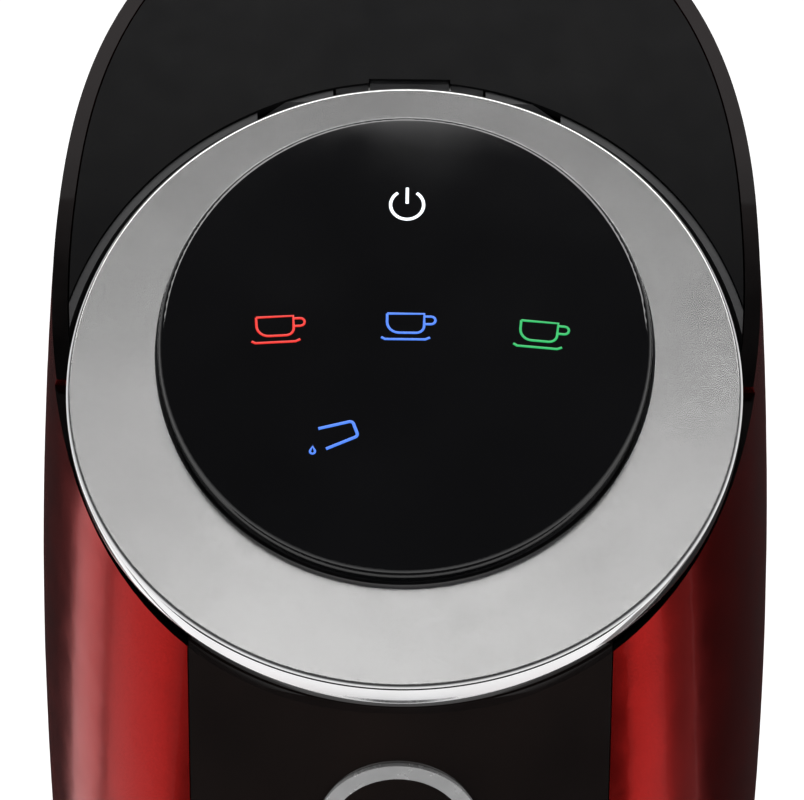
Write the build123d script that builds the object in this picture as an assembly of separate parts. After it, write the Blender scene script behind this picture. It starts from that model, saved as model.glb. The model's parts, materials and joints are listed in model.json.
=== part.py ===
from build123d import *
import math
import os
from functools import lru_cache

os.makedirs("parts", exist_ok=True)

# ---------------------------------------------------------------- driving dimensions (mm)
# Column: rounded plan that swells gently at the belly
HALF_W = 84.5            # half width at the belly
FRONT_DEPTH = 99.0       # plan centre to front, at the belly
BACK_DEPTH = 90.0        # plan centre to back, at the belly
PLAN_Y = -28.5           # plan centre
PLAN_POWER = 2.29        # superellipse exponent of the plan
BELLY_Z = 156.0
BARREL_R = 1100.0        # radius of the side profile
SHELL_T = 3.4
SEAM = 0.25
# Sloping head
SLOPE = 35.7             # degrees from horizontal
RING_Y, RING_Z = -69.0, 245.0
RING_R = 74.5
RING_DISH_R = 910.0      # the ring's face is slightly hollow along the slope
RING_BOTTOM = -3.0
RING_LIP = -6.0          # lowest part of the ring, at its front
WINDOW_A, WINDOW_B = 54.4, 57.1
WINDOW_V = 8.6           # window centre, up the slope from the ring centre
WINDOW_TOP = 5.0
CROWN_R = 1000.0         # the hood is part of a large ball
CROWN_V = 40.0
HOOD_INSET = 3.8
DECK_TOP = -6.5          # top edge of shells and panel below the ring
WELL_R = 76.2
WELL_FLOOR = -12.0
WALL = 2.0
# Lid hinge and its gear
HINGE_V, HINGE_N = 78.3, -4.6
LID_ANGLE = 65.0
BREW_TRAVEL = 12.0
GEAR_TEETH = 20
KNUCKLE_R = 2.8
PIN_R = 1.5
RUN_GAP = 0.05
# Front and cup bay
PANEL_HALF = 45.5
PANEL_BOTTOM = 130.0
BADGE_R, BADGE_Z = 18.2, 165.0
BAY_TOP = 126.0
BAY_HALF = 45.0
BAY_FRONT = -105.0
DRAWER_HALF = 44.4
TRAY_BOTTOM, TRAY_TOP = 8.8, 36.0
FLOAT_X, FLOAT_Y = 27.0, -69.0
BIN_FRONT, BIN_BACK, BIN_TOP = -50.0, 20.0, 106.0
SPOUT_Y, SPOUT_BOTTOM = -96.0, 110.0
# Base and tank
FOOT_H = 3.0
BASE_TOP = 8.0
SEAM_Y = 44.0            # side shells end, rear cover begins
TANK_A, TANK_Y, TANK_POWER = 66.0, 45.0, 2.8
TANK_BACK = 130.8
TANK_FRONT = 46.0
DOCK_TOP = 34.0
TANK_BOTTOM, TANK_TOP = 35.0, 283.0
TANK_T = 2.4
TANK_GAP = 2.0
VALVE_Y = 92.0
TANK_PIN_Y, TANK_PIN_Z = TANK_BACK - 2.9, TANK_TOP + 2.7
TANK_PIN_R = 1.0
TANK_KNUCKLE_R = 2.3
INLET_X, INLET_FACE = -24.0, 128.4
# Pump, switch and fasteners
PUMP_X, PUMP_Y = -60.5, -20.0
METER_X = -58.0
SWITCH_X, SWITCH_Y = 48.0, -60.0
FEET = [(s * x, y) for x, y in ((36, -94), (56, 0), (42, 112)) for s in (-1, 1)]
BASE_SCREWS = [(s * x, y) for x, y in ((24, -106), (56, -48), (30, 60)) for s in (-1, 1)]
LID_SCREWS = [(s * 62, v) for s in (-1, 1) for v in (-24, 28)]

BIG = 600.0
SIN, COS = math.sin(math.radians(SLOPE)), math.cos(math.radians(SLOPE))
HEAD = Plane(origin=(0, RING_Y, RING_Z), x_dir=(1, 0, 0), z_dir=(0, -SIN, COS)).location
SWITCH_Z = RING_Z + ((SWITCH_Y - RING_Y) * SIN - 11.7) / COS


# ---------------------------------------------------------------- helpers
def save(node, shape, color):
    """Write one node; a group of equal pieces is written as separate solids."""
    solids = shape.solids()
    out = solids[0] if len(solids) == 1 else Compound(children=list(solids))
    out.label, out.color = node, Color(*color)
    export_step(out, f"parts/{node}.step")
    box = out.bounding_box()
    extremes.append((box.min, box.max))


def block(x0, x1, y0, y1, z0, z1):
    """Box between two corners in the world frame."""
    return Pos((x0 + x1) / 2, (y0 + y1) / 2, (z0 + z1) / 2) * Box(x1 - x0, y1 - y0, z1 - z0)


def head_block(x0, x1, v0, v1, n0, n1):
    """Box between two corners in the head's sloping frame."""
    return HEAD * block(x0, x1, v0, v1, n0, n1)


def head_disc(radius, n0, n1, x=0.0, v=0.0):
    return HEAD * Pos(x, v, (n0 + n1) / 2) * Cylinder(radius, n1 - n0)


def head_point(x, v, n):
    return (x, RING_Y + v * COS - n * SIN, RING_Z + v * SIN + n * COS)


def rod_x(radius, x0, x1, y, z):
    return Pos((x0 + x1) / 2, y, z) * Rot(0, 90, 0) * Cylinder(radius, x1 - x0)


def rod_y(radius, y0, y1, x, z):
    return Pos(x, (y0 + y1) / 2, z) * Rot(90, 0, 0) * Cylinder(radius, y1 - y0)


def rod_z(radius, z0, z1, x, y):
    return Pos(x, y, (z0 + z1) / 2) * Cylinder(radius, z1 - z0)


def mirrored(shape):
    return shape + mirror(shape, Plane.YZ)


def oval(front, back, half_width, power, centre_y, points=32):
    """Closed superellipse outline with separate front and back depths."""
    ring = []
    for i in range(points):
        turn = 2 * math.pi * i / points
        c, s = math.cos(turn), math.sin(turn)
        depth = back if s > 0 else front
        x = half_width * math.copysign(abs(c) ** (2 / power), c)
        y = centre_y + depth * math.copysign(abs(s) ** (2 / power), s)
        ring.append((x, y))
    return make_face(Spline(*ring, periodic=True))


def plan_scale(z):
    return 1 - (z - BELLY_Z) ** 2 / (2 * BARREL_R) / HALF_W


def plan(z, inset):
    k = plan_scale(z)
    return oval(FRONT_DEPTH * k - inset, BACK_DEPTH * k - inset, HALF_W * k - inset, PLAN_POWER, PLAN_Y)


@lru_cache(maxsize=None)
def column(inset, z0=BASE_TOP, z1=352.0, sections=4):
    """Solid barrel of the column, inset from its outer face."""
    heights = [z0 + (z1 - z0) * i / (sections - 1) for i in range(sections)]
    return loft([Pos(0, 0, z) * plan(z, inset) for z in heights])


def crown(radius):
    """Large ball whose top is the crown of the hood."""
    return HEAD * Pos(0, CROWN_V, -CROWN_R) * Sphere(radius)


def front_y(z, inset=0.0):
    """Where the column's front lies on the centre line."""
    return PLAN_Y - FRONT_DEPTH * plan_scale(z) + inset


def tube(points, radius, bore=0.0):
    """Hose or pipe along a route of straight runs joined by the largest arcs the runs allow."""
    runs = [Vector(*b) - Vector(*a) for a, b in zip(points, points[1:])]
    radii = []
    for before, after in zip(runs, runs[1:]):
        turn = math.radians(before.get_angle(after))
        radii.append(0.45 * min(before.length, after.length) / math.tan(turn / 2))
    path = FilletPolyline(*points, radius=radii)
    start = Plane(origin=path @ 0, z_dir=path % 0)
    pipe = sweep(start * Circle(radius), path=path)
    if bore:
        pipe -= sweep(start * Circle(bore), path=path)
    return pipe


extremes = []
GLOSS_RED = (0.45, 0.03, 0.03)
BLACK = (0.03, 0.03, 0.03)
GREY = (0.3, 0.3, 0.32)
METAL = (0.75, 0.75, 0.76)
RUBBER = (0.08, 0.08, 0.08)


# ---------------------------------------------------------------- column skin
def skin():
    """Wall of the column, cut down to the deck in front of the head."""
    wall = (column(0.0) - column(SHELL_T, BASE_TOP - 1, 353.0)) & crown(CROWN_R)
    return wall - head_block(-BIG, BIG, -BIG, 2.0, DECK_TOP, BIG)


def side_shells(wall):
    cut = wall - block(-PANEL_HALF - SEAM, PANEL_HALF + SEAM, -BIG, PLAN_Y, 0, BIG)
    cut -= block(-BIG, BIG, SEAM_Y, BIG, 0, BIG)
    save("left_side_shell", cut & block(-BIG, 0, -BIG, BIG, 0, BIG), GLOSS_RED)
    save("right_side_shell", cut & block(0, BIG, -BIG, BIG, 0, BIG), GLOSS_RED)


def front_panel(wall):
    panel = wall & block(-PANEL_HALF, PANEL_HALF, -BIG, PLAN_Y, PANEL_BOTTOM, BIG)
    seat = rod_y(BADGE_R + 0.1, -BIG, front_y(BADGE_Z) + 0.9, 0, BADGE_Z)
    seat -= rod_y(BADGE_R - 3.3, -BIG, 0, 0, BADGE_Z)
    save("front_panel", panel - seat, BLACK)


def badge_ring():
    """Plain round trim ring that follows the panel and stands 1.2 mm proud of it."""
    band = rod_y(BADGE_R, -BIG, front_y(BADGE_Z) + 0.9, 0, BADGE_Z)
    band -= rod_y(BADGE_R - 3.2, -BIG, 0, 0, BADGE_Z)
    save("badge_ring", band & column(-1.2), METAL)


def rear_cover(wall):
    cover = wall & block(-BIG, BIG, SEAM_Y + SEAM, BIG, BASE_TOP, BIG)
    cover -= block(-44, 44, 30, BIG, 0, DOCK_TOP + 1)
    save("rear_cover", cover, BLACK)


def hood():
    """Black cap behind the lid: a crowned sheet with a skirt inside the shells."""
    cap = column(HOOD_INSET) & crown(CROWN_R)
    cap -= column(HOOD_INSET + 2.4, BASE_TOP - 1, 353.0) & crown(CROWN_R - 2.4)
    cap -= head_block(-BIG, BIG, -BIG, BIG, -BIG, -16)
    cap -= head_disc(WELL_R + WALL, -40, 40)
    cap -= head_block(-BIG, BIG, -BIG, 10.5, -BIG, BIG)
    cap -= head_block(-17.6, 17.6, 70, HINGE_V + KNUCKLE_R + 0.7, -12, HINGE_N + KNUCKLE_R + 0.2)
    cap -= head_block(-9.3, 9.3, 70, HINGE_V + 0.45, -12, 10)
    save("hood", cap, BLACK)


# ---------------------------------------------------------------- lid well and hinge
def lid_well():
    """Floor and wall around the lid, with the capsule slot and the fixed hinge knuckles."""
    top_ball = crown(CROWN_R - 0.6)
    floor = head_disc(WELL_R + WALL - 0.2, WELL_FLOOR - WALL, WELL_FLOOR)
    rim = head_disc(WELL_R + WALL - 0.2, WELL_FLOOR - WALL, 10) - head_disc(WELL_R, -40, 40)
    rim -= head_block(-BIG, BIG, -BIG, 11, WELL_FLOOR, BIG)
    well = (floor + rim) & column(HOOD_INSET) & top_ball
    well -= block(-34.5, 34.5, -62.5, -9, 0, BIG)
    well -= head_block(-17.4, 17.4, 70, BIG, HINGE_N - KNUCKLE_R - 1.2, BIG)
    ears = head_block(9.4, 16.8, HINGE_V - 2.7, HINGE_V + 2.7, WELL_FLOOR - WALL, HINGE_N)
    ears += HEAD * rod_x(KNUCKLE_R, 9.4, 16.8, HINGE_V, HINGE_N)
    well += mirrored(ears)
    well -= head_block(-4.4, 4.4, 50, BIG, -BIG, BIG)
    well -= HEAD * rod_x(PIN_R, -20, 20, HINGE_V, HINGE_N)
    well -= rod_z(5.0, 0, BIG, SWITCH_X, SWITCH_Y)
    save("lid_well", well, BLACK)
    save("hinge_pin", HEAD * rod_x(PIN_R, -16.8, 16.8, HINGE_V, HINGE_N), METAL)


# ---------------------------------------------------------------- lid
def lid_ring():
    """Eccentric metal ring: hollow face, deeper lip at the front."""
    reach = RING_R + 2
    rise = reach ** 2 / (2 * RING_DISH_R)
    lip_start = -RING_R / 2
    lip_end = RING_LIP - 0.15
    side = make_face(
        ThreePointArc((-reach, rise), (0, 0), (reach, rise))
        + Polyline(
            (reach, rise), (reach, RING_BOTTOM), (lip_start, RING_BOTTOM), (-reach, lip_end), (-reach, rise)
        )
    )
    across = Plane(origin=(-reach, 0, 0), x_dir=(0, 1, 0), z_dir=(1, 0, 0)) * side
    body = extrude(across, 2 * reach)
    body &= Cylinder(RING_R, 40)
    hole = Pos(0, WINDOW_V) * Ellipse(WINDOW_A + 0.25, WINDOW_B + 0.25)
    body -= extrude(Pos(0, 0, -20) * hole, 40)
    face_edges = [e for e in body.edges() if e.center().Z > RING_BOTTOM / 2 and abs(e.length) > 100]
    outer = [e for e in face_edges if e.bounding_box().size.X > 2 * RING_R - 2]
    inner = [e for e in face_edges if e.bounding_box().size.X < 2 * RING_R - 2]
    body = chamfer(outer, 0.8)
    window_edges = [e for e in body.edges() if any((e.center() - i.center()).length < 0.05 for i in inner)]
    body = chamfer(window_edges, 0.5)
    return HEAD * body


def window_plate(inset, n0, n1):
    return extrude(Pos(0, WINDOW_V, n0) * Ellipse(WINDOW_A - inset, WINDOW_B - inset), n1 - n0)


def lid_window():
    glass = window_plate(0, 1.2, WINDOW_TOP)
    glass = fillet(glass.edges().group_by(Axis.Z)[-1], 1.4)
    save("touch_window", HEAD * glass, BLACK)
    carrier = window_plate(0.3, RING_BOTTOM, 1.2) - window_plate(3.5, -1.8, 2)
    save("window_carrier", HEAD * carrier, GREY)
    board = window_plate(4.0, -0.6, 1.0)
    for x, v in ((0, 38), (-30, 12), (0, 12), (30, 12), (-16, -14)):
        board -= Pos(x, v) * Cylinder(2.0, 20)
    save("touch_board", HEAD * board, (0.02, 0.2, 0.08))


def lid_chassis(ring, gear):
    """Back plate of the lid with its hinge arm, cut round the gear and the catch plate."""
    chassis = head_disc(70.3, -10, RING_BOTTOM) - ring
    chassis -= head_block(-11, 11, 58, BIG, -BIG, -6.2)
    chassis += head_block(-9, 9, 60, HINGE_V, -6.2, -3.2)
    knuckle = HEAD * rod_x(KNUCKLE_R, -9, 9, HINGE_V, HINGE_N)
    chassis += knuckle
    chassis -= HEAD * rod_x(PIN_R + RUN_GAP, -20, 20, HINGE_V, HINGE_N)
    chassis -= head_block(-3.1, 3.1, HINGE_V - 13, BIG, -BIG, -3.3) - knuckle
    chassis -= head_block(-6, 6, -62, -52, -12, -8.4)
    chassis = max((chassis - gear).solids(), key=lambda solid: solid.volume)
    for x, v in LID_SCREWS:
        chassis -= head_disc(3.1, -12, -7, x, v) + head_disc(1.5, -8, 2, x, v)
    save("lid_chassis", chassis, BLACK)
    save("catch_plate", head_block(-6, 6, -62, -52, -9.9, -8.4), METAL)


def lid_screws(ring):
    """Screws from the chassis up into blind holes in the ring."""
    group = Part()
    holes = Part()
    for x, v in LID_SCREWS:
        group += head_disc(2.9, -9.2, -7, x, v) + head_disc(1.45, -7, -1.2, x, v)
        holes += head_disc(1.5, -4, -1.0, x, v)
    save("lid_screws", group, METAL)
    return ring - holes


# ---------------------------------------------------------------- gear and brew carriage
HINGE_Y, HINGE_Z = head_point(0, HINGE_V, HINGE_N)[1:]
GEAR_R = BREW_TRAVEL / math.radians(LID_ANGLE)      # the lid's swing gives the full brew travel
PITCH = 2 * math.pi * GEAR_R / GEAR_TEETH
ADDENDUM, DEDENDUM = 0.9, 1.2
TOOTH_ROOT, TOOTH_TIP = 1.7, 0.75                   # tooth widths; the rest of the pitch is clearance


def tooth(root_at, tip_at):
    """Flat tooth along +Y from root_at to tip_at."""
    return Polygon(
        (-TOOTH_ROOT / 2, root_at), (TOOTH_ROOT / 2, root_at),
        (TOOTH_TIP / 2, tip_at), (-TOOTH_TIP / 2, tip_at),
        align=None,
    )


def gear_sector():
    """Teeth from just before the bottom of the gear round to its rear."""
    root = GEAR_R - DEDENDUM
    flat = Circle(root)
    for k in range(-1, 5):
        flat += Rot(0, 0, 180 + k * 360 / GEAR_TEETH) * tooth(root - 0.4, GEAR_R + ADDENDUM)
    wedge = Polygon((0, 0), *[
        (BIG * math.sin(math.radians(a)), -BIG * math.cos(math.radians(a))) for a in (-27, 20, 60, 81)
    ], align=None)
    flat = (flat & wedge) - Circle(KNUCKLE_R)
    across = Plane(origin=(-3, HINGE_Y, HINGE_Z), x_dir=(0, 1, 0), z_dir=(1, 0, 0)) * flat
    gear = extrude(across, 6)
    save("lid_gear", gear, GREY)
    return gear


def brew_carriage():
    """Front half of the brew chamber, its side arms, the bridge behind and the rack on top."""
    arms = mirrored(block(29, 33, -48, 14, 226, 232) + block(29, 33, 8, 14, 226, 258))
    body = block(-33, 33, -48, -38, 190, 240) + arms + block(-33, 33, 8, 14, 252, 258)
    rack_top = HINGE_Z - GEAR_R - DEDENDUM
    rack_front, rack_back = HINGE_Y - PITCH / 2 - 1.2, HINGE_Y + 5.5 * PITCH + 1.2
    body += block(-3, 3, 8, rack_back, 252, rack_top)
    body += block(-3, 3, rack_front, rack_back, rack_top - 5, rack_top)
    for j in range(-1, 6):
        place = Plane(origin=(-3, HINGE_Y + (j + 0.5) * PITCH, rack_top), x_dir=(0, 1, 0), z_dir=(1, 0, 0))
        body += extrude(place * tooth(-0.3, DEDENDUM + ADDENDUM), 6)
    body -= mirrored(rod_y(2.05, -50, -36, 29, 204))
    body -= rod_y(20.2, -39.5, -37, 0, 215)
    body -= rod_y(3.0, -50, -37, 0, 200) + block(-3, 3, -45, -41, 180, 203)
    save("brew_carriage", body, GREY)
    sieve = rod_y(20, -39.5, -38.3, 0, 215)
    for i in range(12):
        turn = 2 * math.pi * i / 12
        sieve -= rod_y(1.2, -41, -37, 13 * math.cos(turn), 215 + 13 * math.sin(turn))
    save("extraction_sieve", sieve, METAL)


def brew_unit():
    """Fixed half of the brew chamber, held between the cheeks of the brew frame."""
    plate = block(-36.5, 36.5, -6, 4, 186, 222) + block(-27, 27, -6, 4, 222, 246)
    plate -= mirrored(rod_y(2.0, -8, 6, 29, 204))
    plate -= rod_y(1.6, -8, 6, 0, 215)
    plate -= rod_y(3.0, 1, 6, 0, 215)
    plate -= rod_y(21.1, -7, -5, 0, 215) - rod_y(16.9, -8, -4, 0, 215)
    save("injection_plate", plate, GREY)
    save("brew_seal", rod_y(21, -7.5, -5, 0, 215) - rod_y(17, -8, -4, 0, 215), RUBBER)
    needle = Pos(0, -9.5, 215) * Rot(90, 0, 0) * Cone(1.5, 0.3, 7) + rod_y(1.6, -6, 0, 0, 215)
    save("piercing_needle", needle - rod_y(0.6, -8, 1, 0, 215), METAL)
    rods = mirrored(rod_y(2.0, -64, 4, 29, 204))
    save("guide_rods", rods, METAL)
    frame = mirrored(block(36.5, 39, -66, 14, 128, 226)) + block(-39, 39, -66, 14, 128, 131)
    frame -= block(-28, 28, -38, -2, 120, 140) + block(-12, 12, -70, -56, 120, 140)
    save("brew_frame", frame, GREY)
    screws = Part()
    for z in (192, 214):
        screws += mirrored(rod_x(3.0, 39, 41, -1, z))
    save("brew_screws", screws, METAL)
    chute = block(-26, 26, -35.6, -8.4, 108, 186) - block(-24.4, 24.4, -34, -10, 100, 200)
    save("capsule_chute", chute, BLACK)


def coffee_path():
    """Funnel and pipe from under the brew chamber forward to the spout."""
    funnel = block(-11, 11, -64, -40, 166, 186) - block(-9, 9, -62, -42, 168, 190)
    route = [(0, -53.6, 166), (0, -60, 151), (0, SPOUT_Y, 147), (0, SPOUT_Y, 129)]
    funnel -= rod_z(3.4, 160, 172, 0, -53.6)
    save("coffee_outlet", funnel + tube(route, 5.0, 3.4), BLACK)
    body = rod_z(14, SPOUT_BOTTOM + 6, 128.9, 0, SPOUT_Y)
    body += mirrored(rod_z(4, SPOUT_BOTTOM, 118, 6.5, SPOUT_Y))
    inside = rod_z(11.5, SPOUT_BOTTOM + 8, 126, 0, SPOUT_Y) + rod_z(4.0, 120, 132, 0, SPOUT_Y)
    inside += mirrored(rod_z(2.4, SPOUT_BOTTOM - 2, 120, 6.5, SPOUT_Y))
    save("coffee_spout", body - inside, BLACK)


# ---------------------------------------------------------------- cup bay and drawer
def cup_bay_liner():
    """Side walls and ceiling of the bay, inside the shells, notched at the back for the hose."""
    walls = mirrored(block(BAY_HALF, BAY_HALF + WALL, BAY_FRONT, 23.5, BASE_TOP, BAY_TOP + WALL))
    liner = walls + block(-BAY_HALF - WALL, BAY_HALF + WALL, BAY_FRONT, BIN_FRONT, BAY_TOP, BAY_TOP + WALL)
    liner -= rod_z(14.3, 100, 140, 0, SPOUT_Y)
    liner -= block(-BAY_HALF - WALL - 1, -BAY_HALF + 1, BIN_BACK + 0.5, 30, 0, 28)
    liner &= column(SHELL_T + SEAM)
    save("cup_bay_liner", liner, BLACK)


def drawer():
    reach = block(-DRAWER_HALF, DRAWER_HALF, -BIG, BIN_BACK, TRAY_BOTTOM, TRAY_TOP)
    tray = reach & prism(plan(TRAY_BOTTOM, 0.4), 0, 50)
    inner = block(-DRAWER_HALF + WALL, DRAWER_HALF - WALL, -BIG, BIN_BACK - WALL, TRAY_BOTTOM + WALL, BIG)
    tray -= inner & prism(plan(TRAY_BOTTOM, 0.4 + WALL), 0, 50)
    tray -= block(-BIG, BIG, BIN_FRONT - 0.1, BIG, TRAY_TOP - 2.0, BIG)
    save("drip_tray", tray, BLACK)
    bin_box = block(-DRAWER_HALF, DRAWER_HALF, BIN_FRONT, BIN_BACK, TRAY_TOP - 2.0, BIN_TOP)
    inner_half = DRAWER_HALF - WALL
    bin_box -= block(-inner_half, inner_half, BIN_FRONT + WALL, BIN_BACK - WALL, TRAY_TOP, BIG)
    save("capsule_bin", bin_box, BLACK)
    grille = block(-41.9, 41.9, -BIG, BIN_FRONT - 0.6, TRAY_TOP - 2, TRAY_TOP)
    grille &= prism(plan(TRAY_BOTTOM, 0.8 + WALL), 0, 50)
    for i in range(8):
        y = BIN_FRONT - 9 - i * 6.6
        beside_float = abs(y + 2 - FLOAT_Y) < 8
        grille -= block(-33 + i * 2, 16 if beside_float else 33 - i * 2, y, y + 3.4, 0, BIG)
    grille -= rod_z(4.6, 0, BIG, FLOAT_X, FLOAT_Y)
    save("drip_grille", grille, METAL)
    bob = rod_z(4.2, TRAY_BOTTOM + WALL + 0.3, TRAY_TOP + 0.4, FLOAT_X, FLOAT_Y)
    bob += rod_z(8.0, TRAY_BOTTOM + WALL + 0.3, TRAY_BOTTOM + WALL + 9, FLOAT_X, FLOAT_Y)
    save("tray_float", bob, GLOSS_RED)


# ---------------------------------------------------------------- base, dock and feet
def tank_plan(inset, front):
    """Kidney outline of the tank, hugging the back of the column."""
    outline = oval(TANK_BACK - TANK_Y - inset, TANK_BACK - TANK_Y - inset, TANK_A - inset, TANK_POWER, TANK_Y)
    outline -= plan(BELLY_Z, -TANK_GAP - inset)
    return outline & Pos(0, front + inset + BIG / 2) * Rectangle(BIG, BIG)


def prism(face, z0, z1):
    return extrude(Pos(0, 0, z0) * face, z1 - z0)


def base_parts():
    footprint = plan(BASE_TOP, 0.6) + tank_plan(0, 20) + Pos(0, 38) * Rectangle(126, 50)
    base = prism(footprint, FOOT_H, BASE_TOP)
    for x, y in FEET:
        base -= rod_z(7, 0, FOOT_H + 1.5, x, y)
    for x, y in BASE_SCREWS:
        base -= rod_z(3.4, 0, FOOT_H + 1.6, x, y)
    save("base_chassis", base, BLACK)
    feet = Part()
    for x, y in FEET:
        feet += rod_z(7, 0, FOOT_H + 1.5, x, y)
    save("rubber_feet", feet, RUBBER)
    dock = prism(tank_plan(0, TANK_FRONT), BASE_TOP, DOCK_TOP)
    dock -= prism(tank_plan(2.4, TANK_FRONT), BASE_TOP - 1, DOCK_TOP - 2.4)
    dock += rod_z(11, 14, DOCK_TOP - 1, 0, VALVE_Y)
    dock -= rod_z(8.4, 16, DOCK_TOP + 1, 0, VALVE_Y)
    dock += rod_z(1.6, 14, DOCK_TOP - 0.2, 0, VALVE_Y)
    dock -= rod_y(2.5, VALVE_Y - 14, VALVE_Y - 7, 0, 20)
    dock -= block(INLET_X - 13.6, INLET_X + 13.6, 100, BIG, 9.6, 30.4)
    dock -= rod_y(4.2, 40, 80, 0, 20)
    save("tank_dock", dock, BLACK)
    inlet = block(INLET_X - 13.5, INLET_X + 13.5, 106, INLET_FACE, 9.7, 30.3)
    inlet -= block(INLET_X - 10.5, INLET_X + 10.5, 110, BIG, 12.5, 27.5)
    for dx in (-6, 0, 6):
        inlet += block(INLET_X + dx - 1, INLET_X + dx + 1, 106, 121, 18.2 + abs(dx) / 3, 22.2 + abs(dx) / 3)
    save("power_inlet", inlet, BLACK)


# ---------------------------------------------------------------- tank
def tank_parts():
    tank = prism(tank_plan(0, TANK_FRONT), TANK_BOTTOM, TANK_TOP)
    tank -= prism(tank_plan(TANK_T, TANK_FRONT), TANK_BOTTOM + TANK_T, TANK_TOP + 1)
    tank -= rod_z(6.0, 0, TANK_BOTTOM + 5, 0, VALVE_Y)
    ears = block(12.4, 18, 124.5, TANK_PIN_Y, TANK_TOP - 8, TANK_PIN_Z)
    ears += rod_x(TANK_KNUCKLE_R, 12.4, 18, TANK_PIN_Y, TANK_PIN_Z)
    tank += mirrored(ears)
    tank -= rod_x(TANK_PIN_R, -20, 20, TANK_PIN_Y, TANK_PIN_Z)
    save("water_tank", tank, (0.5, 0.55, 0.6))
    save("tank_lid_pin", rod_x(TANK_PIN_R, -18, 18, TANK_PIN_Y, TANK_PIN_Z), METAL)
    lid = prism(tank_plan(0, TANK_FRONT), TANK_TOP + 0.3, TANK_TOP + 3.6)
    lid += prism(tank_plan(TANK_T + 0.6, TANK_FRONT), TANK_TOP - 3, TANK_TOP + 0.4)
    lid -= block(-30, 30, 122, BIG, 0, BIG)
    lid += block(-12, 12, 119, TANK_PIN_Y, TANK_TOP + 0.8, TANK_TOP + 3.6)
    lid += rod_x(TANK_KNUCKLE_R, -12, 12, TANK_PIN_Y, TANK_PIN_Z)
    lid -= rod_x(TANK_PIN_R + RUN_GAP, -20, 20, TANK_PIN_Y, TANK_PIN_Z)
    save("tank_lid", lid, BLACK)
    stem = rod_z(3.0, TANK_BOTTOM - 0.8, TANK_BOTTOM + 20, 0, VALVE_Y)
    stem += rod_z(8.5, TANK_BOTTOM + 4.0, TANK_BOTTOM + 6.0, 0, VALVE_Y)
    save("tank_valve", stem, GREY)
    seal = rod_z(8.5, TANK_BOTTOM + TANK_T, TANK_BOTTOM + 3.9, 0, VALVE_Y) - rod_z(6.0, 0, 80, 0, VALVE_Y)
    save("tank_seal", seal, RUBBER)
    cage = rod_z(12, TANK_BOTTOM + TANK_T, TANK_BOTTOM + 26, 0, VALVE_Y)
    cage -= rod_z(10.4, 0, TANK_BOTTOM + 24.4, 0, VALVE_Y)
    for turn in range(0, 180, 45):
        cage -= Pos(0, VALVE_Y, TANK_BOTTOM + 12) * Rot(0, 0, turn) * Box(40, 4.5, 16)
    cage -= rod_z(3.2, 0, BIG, 0, VALVE_Y)
    save("valve_cage", cage, GREY)
    z0, z1 = TANK_BOTTOM + 6.4, TANK_BOTTOM + 24.0
    coil = Pos(0, VALVE_Y, z0 + 0.3) * Helix(pitch=(z1 - z0 - 0.6) / 5, height=z1 - z0 - 0.6, radius=5.4)
    wire = Plane(origin=coil @ 0, z_dir=coil % 0) * Circle(0.4)
    save("valve_spring", sweep(wire, path=coil, is_frenet=True), METAL)


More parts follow.
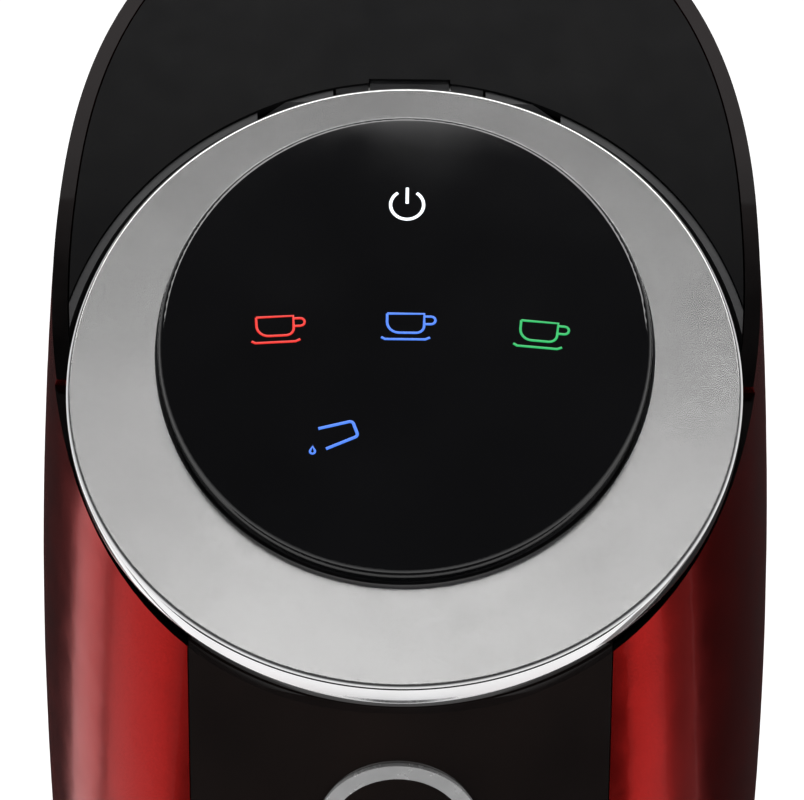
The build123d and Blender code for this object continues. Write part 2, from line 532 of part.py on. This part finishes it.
# ---------------------------------------------------------------- water and electrics inside
def inner_works():
    frame = block(-58, 58, 24, 27, BASE_TOP, 184) & column(SHELL_T + 0.4)
    frame -= block(-30, 30, 20, 30, 60, 156) + block(-58, -34, 20, 30, 0, 30)
    frame -= block(-45, 45, 20, 30, 0, 30)
    for x in (-34, 34):
        for z in (52, 164):
            frame += rod_y(3, 26, 33, x, z)
    save("rear_frame", frame, GREY)
    board = block(-38, 38, 33, 34.6, 46, 170)
    save("main_board", board, (0.02, 0.2, 0.08))
    parts = block(-28, -14, 34.6, 45, 60, 84) + block(-8, 8, 34.6, 46, 58, 76)
    parts += block(-28, -20, 34.6, 42, 100, 140) + block(4, 28, 34.6, 42, 100, 112)
    parts += rod_y(6, 34.6, 45, 22, 70) + rod_y(5, 34.6, 45, 10, 136)
    save("board_parts", parts, (0.1, 0.1, 0.12))
    yoke = block(-72, -49.5, -36, -4, 62, 96) - rod_z(9.4, 50, 110, PUMP_X, PUMP_Y)
    save("pump_yoke", yoke, METAL)
    body = rod_z(9.3, 50, 112, PUMP_X, PUMP_Y) + rod_z(3.2, 42, 120, PUMP_X, PUMP_Y)
    save("pump_body", body, GREY)
    mounts = Part()
    for z in (47.5, 112.2):
        mounts += rod_z(11, z, z + 2.3, PUMP_X, PUMP_Y) - rod_z(3.3, 0, 200, PUMP_X, PUMP_Y)
    save("pump_mounts", mounts, RUBBER)
    heater = block(50, 69, -36, 8, 62, 150)
    for i in range(6):
        heater -= block(66, 70, -40, 12, 70 + i * 13, 74 + i * 13)
    save("thermoblock", heater, METAL)
    stats = Part()
    for z in (96, 122):
        stats += rod_y(6, -42, -36, 58, z) + block(56, 60, -46, -42, z - 3, z + 3)
    save("thermostats", stats, (0.15, 0.12, 0.1))
    meter = rod_z(9, BASE_TOP, 24, METER_X, PUMP_Y) + rod_z(3.2, 24, 30, PUMP_X, PUMP_Y)
    meter += rod_y(1.6, PUMP_Y + 5, PUMP_Y + 13, METER_X + 4, 16)
    save("flow_meter", meter, GREY)
    route = [(0, VALVE_Y - 11.1, 20), (0, 57, 20), (-22, 42, 20), (-43, 31, 18)]
    route += [(-53, 20, 16), (METER_X + 4, 4, 16), (METER_X + 4, PUMP_Y + 9.5, 16)]
    save("suction_hose", tube(route, 3.0, 1.8), RUBBER)
    save("meter_hose", rod_z(3.2, 30, 42, PUMP_X, PUMP_Y) - rod_z(1.6, 0, 60, PUMP_X, PUMP_Y), RUBBER)
    half_way = [(-60.5, -20, 120.05), (-60.5, -20, 140), (-57, 2, 157), (-42, 20, 167), (-14, 20.4, 170)]
    other_half = [(14, 20.4, 170.5), (42, 20, 168), (57, 5, 166), (59.5, -8, 162), (59.5, -8, 150.05)]
    save("pressure_hose", tube(half_way + other_half, 2.6, 1.5), RUBBER)
    route = [(59.5, -26, 150.05), (59.5, -26, 168), (58, -8, 188), (48, 14, 202)]
    route += [(24, 25, 212), (2, 25, 215), (0, 14, 215), (0, 4.05, 215)]
    save("brew_pipe", tube(route, 2.0, 1.2), METAL)
    holder = block(SWITCH_X - 6, SWITCH_X + 6, SWITCH_Y - 4.5, SWITCH_Y + 4.5, SWITCH_Z - 24, SWITCH_Z + 5)
    holder -= head_block(-BIG, BIG, -BIG, BIG, WELL_FLOOR - WALL, BIG)
    holder -= rod_z(2.1, SWITCH_Z - 18, SWITCH_Z + 6, SWITCH_X, SWITCH_Y)
    save("lid_switch", holder, RUBBER)
    plunger = rod_z(2.0, SWITCH_Z - 16, SWITCH_Z, SWITCH_X, SWITCH_Y)
    save("switch_plunger", plunger, METAL)
    save("catch_magnet", head_block(-6, 6, -61, -53, WELL_FLOOR + 0.02, WELL_FLOOR + 1.7), METAL)
    screws = Part()
    for x, y in BASE_SCREWS:
        screws += rod_z(3.3, FOOT_H + 0.2, FOOT_H + 1.6, x, y) - rod_z(1.4, 0, FOOT_H + 0.9, x, y)
    save("base_screws", screws, METAL)


# ---------------------------------------------------------------- build
wall = skin()
side_shells(wall)
front_panel(wall)
rear_cover(wall)
badge_ring()
hood()
lid_well()
metal_ring = lid_screws(lid_ring())
save("lid_ring", metal_ring, METAL)
lid_window()
lid_chassis(metal_ring, gear_sector())
brew_carriage()
brew_unit()
coffee_path()
cup_bay_liner()
drawer()
base_parts()
tank_parts()
inner_works()
low = [min(getattr(a, k) for a, _ in extremes) for k in ("X", "Y", "Z")]
high = [max(getattr(b, k) for _, b in extremes) for k in ("X", "Y", "Z")]
print("box", [round(v, 2) for v in low], [round(v, 2) for v in high])
print("brew ratio, metres per radian", round(BREW_TRAVEL / 1000 / math.radians(LID_ANGLE), 7))
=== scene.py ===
import json
import math

import bpy
from mathutils import Matrix, Vector

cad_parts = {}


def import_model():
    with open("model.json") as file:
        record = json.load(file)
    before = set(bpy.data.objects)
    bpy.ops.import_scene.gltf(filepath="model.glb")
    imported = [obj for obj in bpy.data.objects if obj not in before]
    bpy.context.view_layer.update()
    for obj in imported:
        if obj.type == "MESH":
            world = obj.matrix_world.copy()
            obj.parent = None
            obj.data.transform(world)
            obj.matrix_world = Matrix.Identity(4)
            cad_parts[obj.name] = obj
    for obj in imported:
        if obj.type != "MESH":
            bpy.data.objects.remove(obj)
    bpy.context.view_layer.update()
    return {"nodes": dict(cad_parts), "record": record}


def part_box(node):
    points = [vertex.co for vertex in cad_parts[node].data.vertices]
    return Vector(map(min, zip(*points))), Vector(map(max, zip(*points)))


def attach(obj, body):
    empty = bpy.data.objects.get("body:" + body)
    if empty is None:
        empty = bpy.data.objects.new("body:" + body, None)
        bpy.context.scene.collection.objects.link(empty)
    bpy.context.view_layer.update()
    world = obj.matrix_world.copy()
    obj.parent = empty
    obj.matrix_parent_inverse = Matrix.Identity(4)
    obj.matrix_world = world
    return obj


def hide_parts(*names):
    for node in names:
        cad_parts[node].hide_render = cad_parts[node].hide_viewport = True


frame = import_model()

NODES = frame["nodes"]

# ---------------------------------------------------------------- places (metres)
SLOPE = math.radians(35.7)                  # the head's slope from horizontal
RING_R = (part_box("lid_ring")[1].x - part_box("lid_ring")[0].x) / 2
HEAD_CENTRE = Vector((0, -0.069, 0.245))    # middle of the ring's face
DISH_R = 0.910                              # the ring's face is slightly hollow along the slope
RING_BOTTOM, RING_LIP = -0.003, -0.006      # underside, and the deeper lip at the front
WINDOW_A, WINDOW_B, WINDOW_V, WINDOW_TOP = 0.0544, 0.0571, 0.0086, 0.005
WINDOW_GAP = 0.00025
RING_SHARP = math.radians(40)               # ring edges steeper than this stay crisp
SIGN_FLATNESS = 0.12                        # a sign's height over its stroke's width
UP_SLOPE = Vector((0, math.cos(SLOPE), math.sin(SLOPE)))
NORMAL = Vector((0, -math.sin(SLOPE), math.cos(SLOPE)))
HEAD_AXES = Matrix((Vector((1, 0, 0)), UP_SLOPE, NORMAL)).transposed().to_4x4()
HEAD = Matrix.Translation(HEAD_CENTRE) @ HEAD_AXES

# The camera stands in front of the head and looks down at 27 degrees, a chosen value
CAMERA_ELEVATION = math.radians(27.0)
CAMERA_SWING = math.radians(0.75)
CAMERA_ROLL = math.radians(0.3)
CAMERA_DISTANCE = 0.950
LENS, SENSOR = 193.6, 36.0
AIM_DROP = 0.0036                           # the head's centre sits a little above the picture's middle
AIM_SIDE = -0.0005


# ---------------------------------------------------------------- node helpers
class Shader:
    """A material with one Principled shader and short ways to add procedural detail."""

    def __init__(self, name, color=(0.5, 0.5, 0.5), rough=0.5, metal=0.0, **sockets):
        self.mat = bpy.data.materials.new(name)
        self.mat.use_nodes = True
        self.tree = self.mat.node_tree
        self.bsdf = self.tree.nodes["Principled BSDF"]
        self.coords = self.add("ShaderNodeTexCoord")
        self.set("Base Color", (*color, 1.0))
        self.set("Roughness", rough)
        self.set("Metallic", metal)
        for key, value in sockets.items():
            self.set(key.replace("_", " ").title().replace("Ior", "IOR"), value)

    def add(self, kind, **props):
        node = self.tree.nodes.new(kind)
        for key, value in props.items():
            setattr(node, key, value)
        return node

    def set(self, socket, value):
        self.bsdf.inputs[socket].default_value = value

    def link(self, out, into):
        self.tree.links.new(out, into)

    def noise(self, scale, detail=4.0, stretch=(1, 1, 1)):
        mapping = self.add("ShaderNodeMapping")
        mapping.inputs["Scale"].default_value = stretch
        self.link(self.coords.outputs["Object"], mapping.inputs["Vector"])
        tex = self.add("ShaderNodeTexNoise")
        tex.inputs["Scale"].default_value = scale
        tex.inputs["Detail"].default_value = detail
        self.link(mapping.outputs["Vector"], tex.inputs["Vector"])
        return tex.outputs["Fac"]

    def ramp(self, fac, stops):
        ramp = self.add("ShaderNodeValToRGB")
        elements = ramp.color_ramp.elements
        while len(elements) < len(stops):
            elements.new(0.5)
        for element, (place, value) in zip(elements, stops):
            element.position = place
            element.color = (*value, 1.0) if isinstance(value, tuple) else (value, value, value, 1.0)
        self.link(fac, ramp.inputs["Fac"])
        return ramp.outputs["Color"]

    def vary_color(self, fac, stops):
        self.link(self.ramp(fac, stops), self.bsdf.inputs["Base Color"])

    def vary_rough(self, fac, low, high):
        self.link(self.ramp(fac, [(0.3, low), (0.7, high)]), self.bsdf.inputs["Roughness"])

    def bump(self, fac, strength, depth=0.0002):
        node = self.add("ShaderNodeBump")
        node.inputs["Strength"].default_value = strength
        node.inputs["Distance"].default_value = depth
        self.link(fac, node.inputs["Height"])
        previous = self.bsdf.inputs["Normal"].links
        if previous:
            self.link(previous[0].from_socket, node.inputs["Normal"])
        self.link(node.outputs["Normal"], self.bsdf.inputs["Normal"])


# ---------------------------------------------------------------- materials
def red_lacquer():
    """Deep metallic red under a thin clear coat; faces that look up along the head are painted near black, a
    painted shade standing in for the dark reflection on the rim that meets the hood.
    """
    m = Shader("red_lacquer", (0.36, 0.009, 0.007), 0.22, 0.97, coat_weight=0.05, coat_roughness=0.03)
    flakes = m.noise(2600, 1.0)
    paint = m.ramp(flakes, [(0.35, (0.29, 0.0045, 0.003)), (0.65, (0.35, 0.007, 0.005))])
    # Painted shade: where the surface looks up along the head's normal it is painted near black, in place of
    # the dark reflection on the shell's rim beside the hood.
    painted_shade_facing = m.add("ShaderNodeVectorMath", operation="DOT_PRODUCT")
    painted_shade_facing.inputs[1].default_value = NORMAL
    m.link(m.coords.outputs["Normal"], painted_shade_facing.inputs[0])
    painted_shade_mix = m.add("ShaderNodeMix", data_type="RGBA")
    m.link(m.ramp(painted_shade_facing.outputs["Value"], [(0.8, 0.0), (0.86, 1.0)]), painted_shade_mix.inputs["Factor"])
    m.link(paint, painted_shade_mix.inputs["A"])
    # near-black colour of the painted shade on the up-facing rim
    painted_shade_mix.inputs["B"].default_value = (0.006, 0.005, 0.005, 1.0)
    m.link(painted_shade_mix.outputs["Result"], m.bsdf.inputs["Base Color"])
    m.vary_rough(m.noise(90, 3.0), 0.19, 0.25)
    m.bump(m.noise(420, 2.0), 0.02)
    return m.mat


def gloss_black():
    m = Shader("gloss_black", (0.008, 0.0055, 0.005), 0.09, coat_weight=1.0, coat_roughness=0.02)
    m.vary_color(m.noise(25, 4.0), [(0.3, (0.006, 0.004, 0.0038)), (0.7, (0.012, 0.008, 0.007))])
    m.vary_rough(m.noise(60, 5.0), 0.06, 0.13)
    m.bump(m.noise(300, 2.0), 0.02)
    return m.mat


def satin_black():
    """Soft black of the hood, with a fine moulded grain."""
    m = Shader("satin_black", (0.006, 0.006, 0.0065), 0.3, specular_ior_level=0.035)
    m.vary_color(m.noise(40, 4.0), [(0.3, (0.005, 0.005, 0.0055)), (0.7, (0.008, 0.0078, 0.008))])
    m.vary_rough(m.noise(140, 4.0), 0.26, 0.36)
    m.bump(m.noise(2200, 2.0), 0.06, 0.0001)
    return m.mat


def matte_black():
    m = Shader("matte_black", (0.02, 0.02, 0.021), 0.55)
    m.vary_color(m.noise(60, 4.0), [(0.3, (0.015, 0.015, 0.016)), (0.7, (0.028, 0.028, 0.03))])
    m.vary_rough(m.noise(120, 4.0), 0.46, 0.62)
    m.bump(m.noise(1500, 3.0), 0.15)
    return m.mat


def inner_plastic():
    m = Shader("inner_plastic", (0.16, 0.16, 0.17), 0.45)
    m.vary_color(m.noise(50, 4.0), [(0.3, (0.13, 0.13, 0.14)), (0.7, (0.2, 0.2, 0.21))])
    m.vary_rough(m.noise(130, 4.0), 0.38, 0.52)
    m.bump(m.noise(1200, 3.0), 0.12)
    return m.mat


def satin_metal():
    """Satin aluminium: very fine brushing across, soft mottling, small rubs."""
    m = Shader("satin_metal", (0.66, 0.655, 0.65), 0.3, 1.0)
    brushing = m.noise(900, 2.0, (1, 18, 18))
    m.vary_rough(brushing, 0.19, 0.26)
    m.vary_color(m.noise(30, 5.0), [(0.35, (0.62, 0.615, 0.61)), (0.65, (0.7, 0.695, 0.69))])
    m.bump(brushing, 0.03, 0.00005)
    m.bump(m.noise(3000, 1.0), 0.04, 0.00005)
    return m.mat


def polished_metal():
    m = Shader("polished_metal", (0.82, 0.82, 0.82), 0.07, 1.0)
    m.vary_rough(m.noise(250, 5.0), 0.04, 0.11)
    m.vary_color(m.noise(60, 3.0), [(0.3, (0.78, 0.78, 0.78)), (0.7, (0.85, 0.85, 0.86))])
    m.bump(m.noise(160, 2.0), 0.01)
    return m.mat


def badge_metal():
    """Bright silver plating of the front trim ring, half mirror and half satin."""
    m = Shader("badge_metal", (0.85, 0.85, 0.85), 0.25, 0.6)
    m.vary_rough(m.noise(300, 4.0), 0.2, 0.3)
    m.vary_color(m.noise(70, 3.0), [(0.3, (0.8, 0.8, 0.8)), (0.7, (0.88, 0.88, 0.89))])
    m.bump(m.noise(900, 2.0), 0.02)
    return m.mat


def plain_steel():
    m = Shader("plain_steel", (0.5, 0.5, 0.5), 0.32, 1.0)
    m.vary_rough(m.noise(500, 4.0, (1, 1, 12)), 0.25, 0.42)
    m.vary_color(m.noise(80, 4.0), [(0.3, (0.44, 0.44, 0.44)), (0.7, (0.56, 0.56, 0.55))])
    m.bump(m.noise(900, 2.0, (1, 1, 10)), 0.05)
    return m.mat


def cast_metal():
    m = Shader("cast_metal", (0.42, 0.42, 0.41), 0.5, 1.0)
    m.vary_rough(m.noise(200, 5.0), 0.42, 0.62)
    m.vary_color(m.noise(70, 5.0), [(0.3, (0.36, 0.36, 0.35)), (0.7, (0.48, 0.48, 0.47))])
    m.bump(m.noise(700, 5.0), 0.35)
    return m.mat


def brass():
    m = Shader("brass", (0.62, 0.45, 0.18), 0.35, 1.0)
    m.vary_rough(m.noise(300, 4.0), 0.28, 0.45)
    m.vary_color(m.noise(90, 4.0), [(0.3, (0.5, 0.36, 0.14)), (0.7, (0.68, 0.5, 0.21))])
    m.bump(m.noise(800, 2.0), 0.05)
    return m.mat


def window_black():
    """Touch window: deep black with a hard clear face and the faintest smear marks."""
    m = Shader("window_black", (0.0035, 0.0035, 0.004), 0.05, coat_weight=0.6, coat_roughness=0.015)
    m.vary_color(m.noise(20, 4.0), [(0.3, (0.003, 0.003, 0.0034)), (0.7, (0.005, 0.005, 0.0056))])
    m.vary_rough(m.noise(45, 6.0), 0.035, 0.075)
    m.bump(m.noise(40, 1.0), 0.004)
    return m.mat


def circuit_board():
    """Green lacquer over straight copper runs, drawn as the paler lines of a brick pattern."""
    m = Shader("circuit_board", (0.01, 0.1, 0.04), 0.3, coat_weight=0.5, coat_roughness=0.1)
    brick = m.add("ShaderNodeTexBrick", offset=0.5)
    brick.inputs["Scale"].default_value = 130
    brick.inputs["Mortar Size"].default_value = 0.07
    brick.inputs["Color1"].default_value = (0.008, 0.085, 0.035, 1)
    brick.inputs["Color2"].default_value = (0.012, 0.11, 0.045, 1)
    brick.inputs["Mortar"].default_value = (0.05, 0.2, 0.07, 1)
    swap = m.add("ShaderNodeMapping")
    swap.inputs["Rotation"].default_value = (math.pi / 2, 0, 0)
    m.link(m.coords.outputs["Object"], swap.inputs["Vector"])
    m.link(swap.outputs["Vector"], brick.inputs["Vector"])
    m.link(brick.outputs["Color"], m.bsdf.inputs["Base Color"])
    m.vary_rough(m.noise(200, 3.0), 0.22, 0.38)
    m.bump(brick.outputs["Fac"], 0.2, 0.0001)
    return m.mat


def rubber():
    m = Shader("rubber", (0.02, 0.02, 0.02), 0.75)
    m.vary_color(m.noise(90, 4.0), [(0.3, (0.014, 0.014, 0.014)), (0.7, (0.03, 0.03, 0.03))])
    m.vary_rough(m.noise(300, 4.0), 0.65, 0.85)
    m.bump(m.noise(1500, 3.0), 0.25)
    return m.mat


def smoked_clear():
    """Smoked clear plastic of the tank, with faint flow marks."""
    m = Shader("smoked_clear", (0.36, 0.38, 0.41), 0.06, transmission_weight=0.92, ior=1.45)
    m.vary_color(m.noise(12, 3.0), [(0.3, (0.33, 0.35, 0.38)), (0.7, (0.42, 0.44, 0.47))])
    m.vary_rough(m.noise(70, 4.0), 0.04, 0.09)
    m.bump(m.noise(18, 2.0, (1, 1, 0.3)), 0.05)
    return m.mat


def float_red():
    m = Shader("float_red", (0.5, 0.02, 0.015), 0.3, coat_weight=0.4, coat_roughness=0.1)
    m.vary_color(m.noise(200, 3.0), [(0.3, (0.44, 0.016, 0.012)), (0.7, (0.56, 0.03, 0.02))])
    m.vary_rough(m.noise(300, 3.0), 0.24, 0.36)
    m.bump(m.noise(900, 2.0), 0.05)
    return m.mat


def lit(name, color, strength):
    """A lit sign: even glow with the slight grain of a diffuser."""
    m = Shader(name, tuple(0.35 * c for c in color), 0.35)
    m.set("Emission Strength", strength)
    grain = m.ramp(m.noise(1500, 2.0), [(0.3, tuple(0.85 * c for c in color)), (0.6, color)])
    m.link(grain, m.bsdf.inputs["Emission Color"])
    m.vary_rough(m.noise(800, 2.0), 0.3, 0.42)
    return m.mat


BY_SLOT = {
    "painted_red": red_lacquer(), "black_gloss": gloss_black(), "black_satin": satin_black(),
    "black_matte": matte_black(), "inner_grey": inner_plastic(), "satin_metal": satin_metal(),
    "chrome_trim": polished_metal(), "steel": plain_steel(), "boiler_metal": cast_metal(),
    "window_gloss": window_black(), "board_green": circuit_board(), "rubber": rubber(),
    "tank_clear": smoked_clear(), "float_red": float_red(), "brass": brass(),
}


def dress_cad_nodes():
    """Every CAD node gets the material of its slot."""
    badge = badge_metal()
    for row in frame["record"]["subparts"]:
        node = NODES[row["node"]]
        node.data.materials.clear()
        node.data.materials.append(badge if row["node"] == "badge_ring" else BY_SLOT[row["material_slot"]])


# ---------------------------------------------------------------- mesh helpers
def mesh_piece(name, verts, faces, materials, body, picks=None, transform=None):
    mesh = bpy.data.meshes.new(name)
    mesh.from_pydata(verts, [], faces)
    for material in materials:
        mesh.materials.append(material)
    if picks:
        for face, pick in zip(mesh.polygons, picks):
            face.material_index = pick
    if transform is not None:
        mesh.transform(transform)
    for face in mesh.polygons:
        face.use_smooth = True
    mesh.update()
    piece = bpy.data.objects.new(name, mesh)
    bpy.context.scene.collection.objects.link(piece)
    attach(piece, body)
    return piece


def dished(v):
    """Height of the ring's hollow face at v up the slope."""
    return v * v / (2 * DISH_R)


# ---------------------------------------------------------------- lid ring
def lid_ring():
    """Satin face with polished bevels, polished rim and a deeper lip at the front."""
    turns = 256
    bevel_out, bevel_in = 0.0009, 0.0006
    satin, polished = 0, 1

    def under(v):
        """Underside at v up the slope: level at the back, dropping to the lip at the front."""
        t = max(0.0, -v / RING_R)
        return RING_BOTTOM + (RING_LIP - RING_BOTTOM) * t

    verts, faces, picks = [], [], []
    for i in range(turns):
        a = 2 * math.pi * i / turns
        c, s = math.cos(a), math.sin(a)
        inner = Vector(((WINDOW_A + WINDOW_GAP) * c, WINDOW_V + (WINDOW_B + WINDOW_GAP) * s))
        outer = Vector((RING_R * c, RING_R * s))
        span = (outer - inner).normalized()
        loop = [(inner, under(inner.y)), (inner, dished(inner.y) - bevel_in)]
        first, last = inner + span * bevel_in, outer - span * bevel_out
        for share in (0, 0.02, 0.35, 0.7, 0.98, 1):
            place = first.lerp(last, share)
            loop.append((place, dished(place.y)))
        loop.append((outer - span * 0.35 * bevel_out, dished(outer.y) - 0.45 * bevel_out))
        loop.append((outer, dished(outer.y) - bevel_out))
        loop.append((outer, under(outer.y)))
        verts += [(p.x, p.y, n) for p, n in loop]
    rows = len(loop)
    # strips across the ring: 0 inner wall, 1 inner bevel, 2-6 face, 7-8 outer bevel, 9 rim, 10 underside
    for i in range(turns):
        j = (i + 1) % turns
        at_top = math.sin(2 * math.pi * i / turns) > 0.5
        for k in range(rows):
            m = (k + 1) % rows
            faces.append((i * rows + k, j * rows + k, j * rows + m, i * rows + m))
            is_satin = 2 <= k <= 6 or k == 10 or (at_top and k in (7, 8))
            picks.append(satin if is_satin else polished)
    ring = mesh_piece("metal_ring", verts, faces, [BY_SLOT["satin_metal"], BY_SLOT["chrome_trim"]],
                      "lid", picks, HEAD)
    ring.data.set_sharp_from_angle(angle=RING_SHARP)
    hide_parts("lid_ring")


# ---------------------------------------------------------------- lit signs on the touch window
def stroke(points, closed=False):
    """One line of a sign, and whether its ends meet."""
    return points, closed


def arc(cx, cy, r, start, end, steps=14):
    return [(cx + r * math.cos(math.radians(start + (end - start) * k / steps)),
             cy + r * math.sin(math.radians(start + (end - start) * k / steps))) for k in range(steps + 1)]


def sign(name, strokes, place, turn, width, material, scale=1.0):
    """Thin raised strokes, drawn in millimetres and laid flat on the window."""
    curve = bpy.data.curves.new(name + "_line", "CURVE")
    curve.dimensions = "3D"
    curve.bevel_depth = width / 2
    curve.bevel_resolution = 3
    curve.use_fill_caps = True
    for points, closed in strokes:
        spline = curve.splines.new("POLY")
        spline.points.add(len(points) - 1)
        for target, (x, y) in zip(spline.points, points):
            target.co = (x / 1000, y / 1000, 0, 1)
        spline.use_cyclic_u = closed
    line = bpy.data.objects.new(name + "_line", curve)
    mesh = bpy.data.meshes.new_from_object(line)
    bpy.data.objects.remove(line)
    mesh.materials.clear()
    mesh.materials.append(material)
    flat = Matrix.Diagonal((scale, scale, SIGN_FLATNESS, 1))
    spot = Matrix.Translation((place[0] / 1000, place[1] / 1000, WINDOW_TOP))
    lay = spot @ Matrix.Rotation(math.radians(turn), 4, "Z")
    mesh.transform(HEAD @ lay @ flat)
    piece = bpy.data.objects.new(name, mesh)
    bpy.context.scene.collection.objects.link(piece)
    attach(piece, "lid")


def cup_strokes():
    """Side view of a cup with a handle, over a saucer line."""
    body = [(-4.6, 2.6), (4.0, 2.6), (4.0, -0.6)] + arc(2.2, -0.6, 1.8, 0, -90, 5)[1:]
    body += [(-1.8, -2.4)] + arc(-1.8, 0.4, 2.8, -90, -180, 6)[1:] + [(-4.6, 2.6)]
    handle = [(4.2, 1.9), (5.6, 1.9)] + arc(5.6, 0.9, 1.0, 90, -90, 6)[1:] + [(4.2, -0.1)]
    saucer = [(-5.9, -3.6), (-5.0, -4.1), (4.3, -4.1), (5.4, -3.6)]
    return [stroke(body), stroke(handle), stroke(saucer)]


def signs():
    white = lit("lit_white", (0.9, 0.95, 1.0), 1.6)
    red = lit("lit_red", (0.9, 0.03, 0.02), 0.85)
    blue = lit("lit_blue", (0.07, 0.22, 0.9), 1.0)
    green = lit("lit_green", (0.02, 0.5, 0.13), 0.85)
    power = [stroke(arc(0, 0, 3.7, 125, 415, 24)), stroke([(0, 4.4), (0, 0.3)])]
    sign("sign_power", power, (0.0, 42.4), 0, 0.0007, white)
    sign("sign_cup_left", cup_strokes(), (-28.3, 11.2), 4.0, 0.0006, red, 0.95)
    sign("sign_cup_middle", cup_strokes(), (0.4, 12.3), 0, 0.0006, blue, 0.95)
    sign("sign_cup_right", cup_strokes(), (29.7, 10.6), -5.0, 0.0006, green, 0.95)
    foot = arc(-1.2, -3.0, 0.8, 180, 270, 4) + arc(1.2, -3.0, 0.8, 270, 360, 4)
    tumbler = [(-2.6, 3.8)] + foot + [(2.6, 3.8)]
    sign("sign_pour", [stroke(tumbler)], (-14.0, -15.0), 110, 0.0007, blue)
    drop = [(0, 1.2)] + arc(0, 0, 0.55, 30, -210, 10)
    sign("sign_drop", [stroke(drop, True)], (-19.6, -19.4), 0, 0.0005, blue)


# ---------------------------------------------------------------- stage
def flat_piece(name, corners, z, material):
    """A level sheet that is part of the studio and not of the machine."""
    mesh = bpy.data.meshes.new(name)
    mesh.from_pydata([(x, y, z) for x, y in corners], [], [tuple(range(len(corners)))])
    mesh.materials.append(material)
    sheet = bpy.data.objects.new(name, mesh)
    bpy.context.scene.collection.objects.link(sheet)
    return sheet


def floor():
    m = Shader("pale_floor", (0.86, 0.86, 0.86), 0.6)
    m.vary_color(m.noise(3, 2.0), [(0.3, (0.85, 0.85, 0.85)), (0.7, (0.88, 0.88, 0.88))])
    m.set("Emission Color", (1, 1, 1, 1))
    m.set("Emission Strength", 0.55)
    half = 6.0
    flat_piece("floor", [(-half, -half), (half, -half), (half, half), (-half, half)], 0, m.mat)


def reflection_cards():
    """Sheets on the floor that only mirror-like surfaces see: they shape the highlights on the gloss paint."""
    dark = Shader("card_dark", (0.004, 0.003, 0.003), 0.9)
    dark.vary_color(dark.noise(5, 2.0), [(0.3, (0.003, 0.0025, 0.0025)), (0.7, (0.006, 0.005, 0.005))])
    grey = Shader("card_grey", (0.3, 0.28, 0.28), 0.9)
    grey.vary_color(grey.noise(5, 2.0), [(0.3, (0.28, 0.27, 0.27)), (0.7, (0.32, 0.3, 0.3))])
    fans = (("card_front", -64, 64, dark), ("card_back", 95, 243, dark), ("card_left", 261, 266, grey),
            ("card_right", 80, 94, grey))
    steps, centre_y, height, far = 12, -0.03, 0.0015, 1.8
    for name, first, last, shade in fans:
        inner, outer = [], []
        near = 0.30 if name == "card_front" else 0.17
        for k in range(steps + 1):
            turn = math.radians(first + (last - first) * k / steps)
            inner.append((near * math.sin(turn), centre_y - near * math.cos(turn)))
            outer.append((far * math.sin(turn), centre_y - far * math.cos(turn)))
        card = flat_piece(name, outer + inner[::-1], height, shade.mat)
        for kind in ("camera", "diffuse", "shadow", "transmission"):
            setattr(card, "visible_" + kind, False)


def softbox(name, place, aim, size, power):
    light = bpy.data.lights.new(name, "AREA")
    light.shape = "RECTANGLE"
    light.size, light.size_y = size
    light.energy = power
    lamp = bpy.data.objects.new(name, light)
    lamp.location = place
    lamp.rotation_euler = (Vector(aim) - Vector(place)).to_track_quat("-Z", "Y").to_euler()
    lamp.visible_camera = False
    bpy.context.scene.collection.objects.link(lamp)


def lights():
    softbox("overhead", (0, 0.255, 1.45), (0, 0.255, 0.0), (1.3, 0.74), 12.2)


def world():
    """White near the horizon and dim overhead, so that the black head stays black."""
    sky = bpy.data.worlds.new("studio")
    bpy.context.scene.world = sky
    sky.use_nodes = True
    tree = sky.node_tree
    coords = tree.nodes.new("ShaderNodeTexCoord")
    split = tree.nodes.new("ShaderNodeSeparateXYZ")
    ramp = tree.nodes.new("ShaderNodeValToRGB")
    stops = ramp.color_ramp.elements
    stops[0].position, stops[0].color = 0.2, (1.0, 1.0, 1.0, 1)
    stops[1].position, stops[1].color = 0.75, (0.03, 0.03, 0.032, 1)
    tree.links.new(coords.outputs["Generated"], split.inputs["Vector"])
    tree.links.new(split.outputs["Z"], ramp.inputs["Fac"])
    tree.links.new(ramp.outputs["Color"], tree.nodes["Background"].inputs["Color"])
    tree.nodes["Background"].inputs["Strength"].default_value = 1.0
    bpy.context.scene.view_settings.view_transform = "Standard"


def camera():
    swing, rise = CAMERA_SWING, CAMERA_ELEVATION
    back = Vector((math.sin(swing) * math.cos(rise), -math.cos(swing) * math.cos(rise), math.sin(rise)))
    right = Vector((math.cos(swing), math.sin(swing), 0))
    up = back.cross(right)
    aim = HEAD_CENTRE - up * AIM_DROP + right * AIM_SIDE
    turned_up = up * math.cos(CAMERA_ROLL) - right * math.sin(CAMERA_ROLL)
    turned_right = turned_up.cross(back)
    lens = bpy.data.cameras.new("camera")
    lens.sensor_width, lens.lens = SENSOR, LENS
    eye = bpy.data.objects.new("camera", lens)
    frame_axes = Matrix((turned_right, turned_up, back)).transposed().to_4x4()
    eye.matrix_world = Matrix.Translation(aim + back * CAMERA_DISTANCE) @ frame_axes
    bpy.context.scene.collection.objects.link(eye)
    bpy.context.scene.camera = eye


camera()
dress_cad_nodes()
lid_ring()
signs()
floor()
reflection_cards()
lights()
world()
